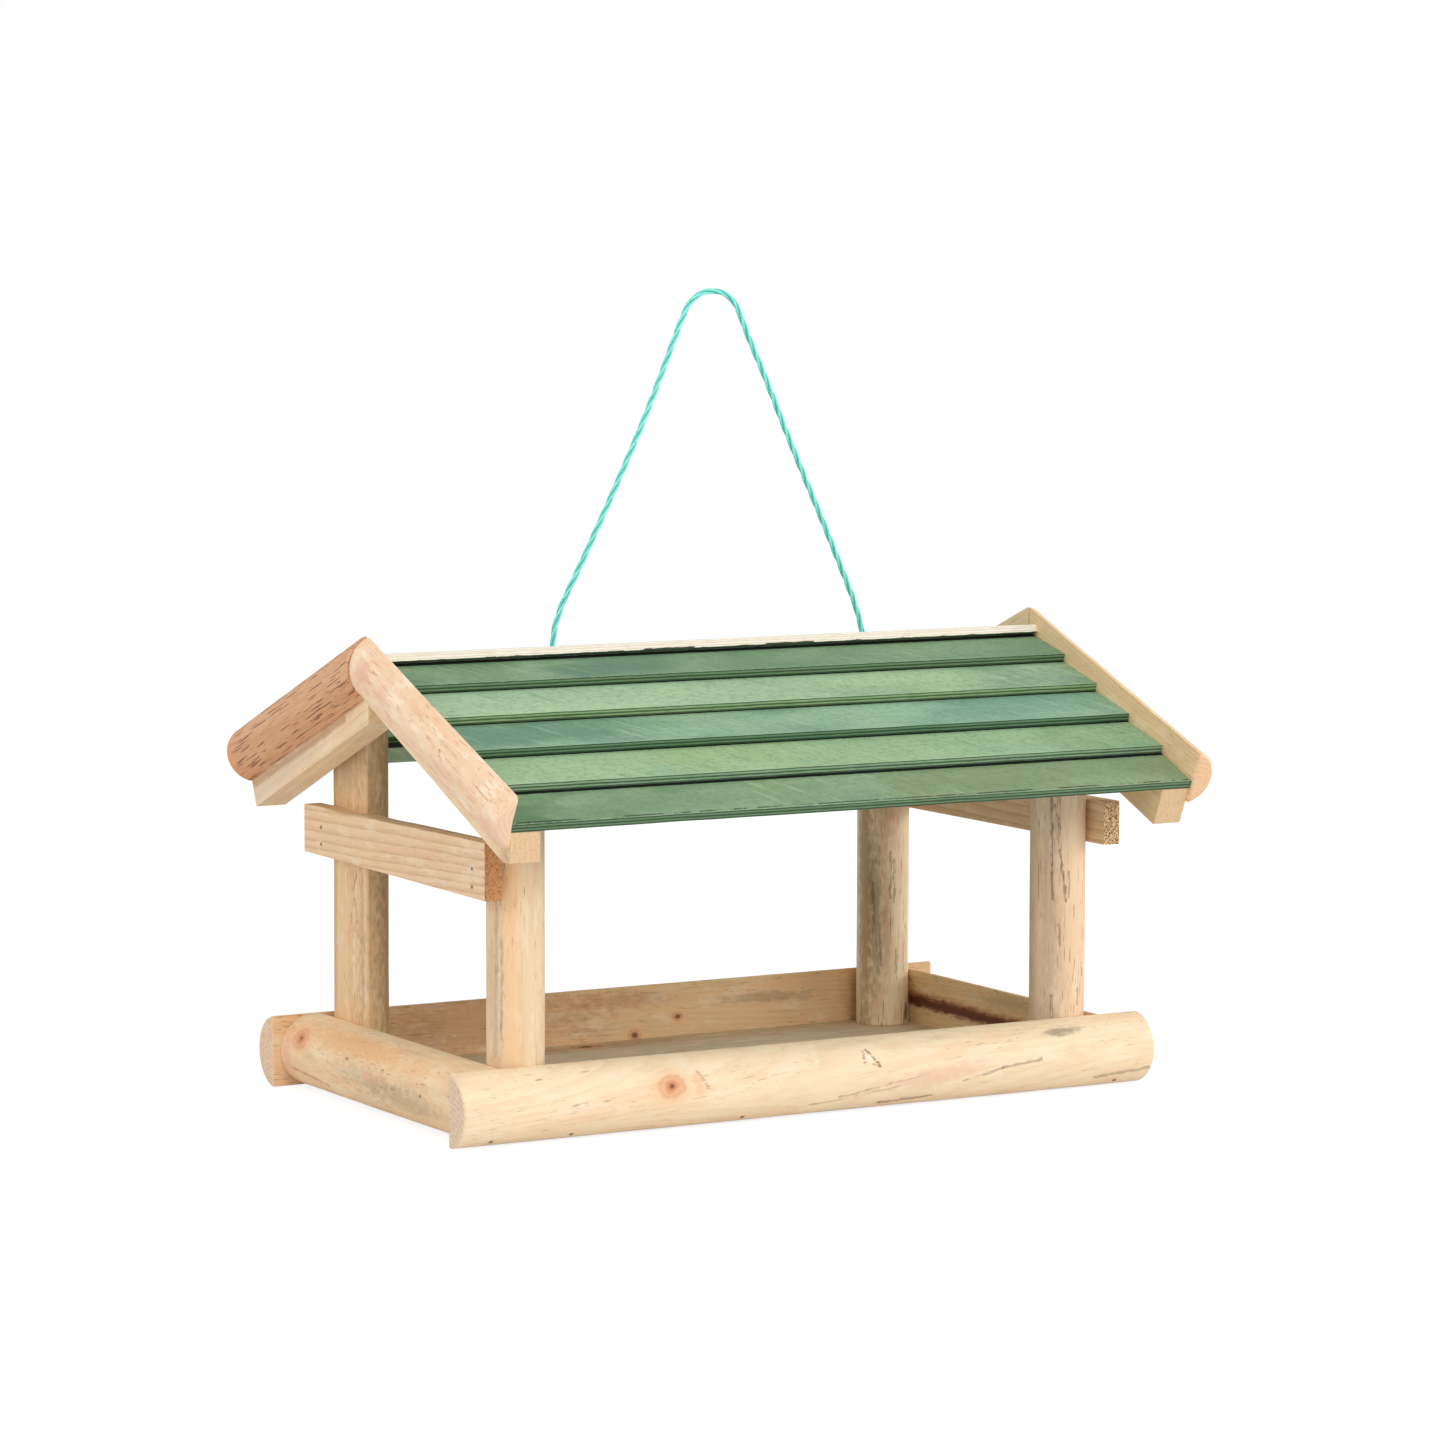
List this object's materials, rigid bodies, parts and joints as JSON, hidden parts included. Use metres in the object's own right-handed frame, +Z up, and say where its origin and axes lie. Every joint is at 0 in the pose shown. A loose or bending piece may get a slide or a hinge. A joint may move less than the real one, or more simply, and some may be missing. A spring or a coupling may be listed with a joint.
{
  "type": "hanging bird table",
  "caption": "Hanging wooden bird table: railed tray of half-round logs, corner posts and an overlapping board roof, hung by a rope loop.",
  "frame": {"origin": "middle of the tray's underside, midway between the front and back rails", "axes": "+X along the ridge to the right, +Y from the front to the back, +Z up"},
  "size_m": [0.5016, 0.3801, 0.498],
  "materials": {
    "rail_pine": "bare machine-rounded pine, matt",
    "floor_pine": "bare greyish pine board, matt",
    "post_pine": "bare rounded pine with cracks and bark flecks, matt",
    "batten_pine": "planed pine with straight grain, matt",
    "rafter_pine": "rough-sawn pine, matt",
    "bargeboard_pine": "half-round pine with knots, matt",
    "barked_pine": "half-round pine with reddish-brown bast left on, rough",
    "green_plywood": "thin plywood with a sage green stain, matt",
    "nail_steel": "dull wire nails with sunk heads",
    "turquoise_rope": "twisted synthetic rope, satin"
  },
  "bodies": {
    "root": {"front_rail": "rail_pine", "back_rail": "rail_pine", "right_rail": "rail_pine", "left_rail": "rail_pine", "tray_floor": "floor_pine", "rail_nails": "nail_steel", "post_front_left": "post_pine", "post_front_right": "post_pine", "post_back_right": "post_pine", "post_back_left": "post_pine", "left_batten": "batten_pine", "right_batten": "batten_pine", "batten_nails": "nail_steel", "rafter_front_right": "rafter_pine", "rafter_front_left": "rafter_pine", "rafter_back_left": "rafter_pine", "rafter_back_right": "rafter_pine", "bargeboard_front_right": "bargeboard_pine", "bargeboard_front_left": "bargeboard_pine", "bargeboard_back_left": "barked_pine", "bargeboard_back_right": "bargeboard_pine", "roof_board_front_1": "green_plywood", "roof_board_front_2": "green_plywood", "roof_board_front_3": "green_plywood", "roof_board_front_4": "green_plywood", "roof_board_front_5": "green_plywood", "roof_board_back_1": "green_plywood", "roof_board_back_2": "green_plywood", "roof_board_back_3": "green_plywood", "roof_board_back_4": "green_plywood", "roof_board_back_5": "green_plywood", "knot_left": "turquoise_rope", "knot_right": "turquoise_rope", "rope": "turquoise_rope"}
  },
  "joints": []
}
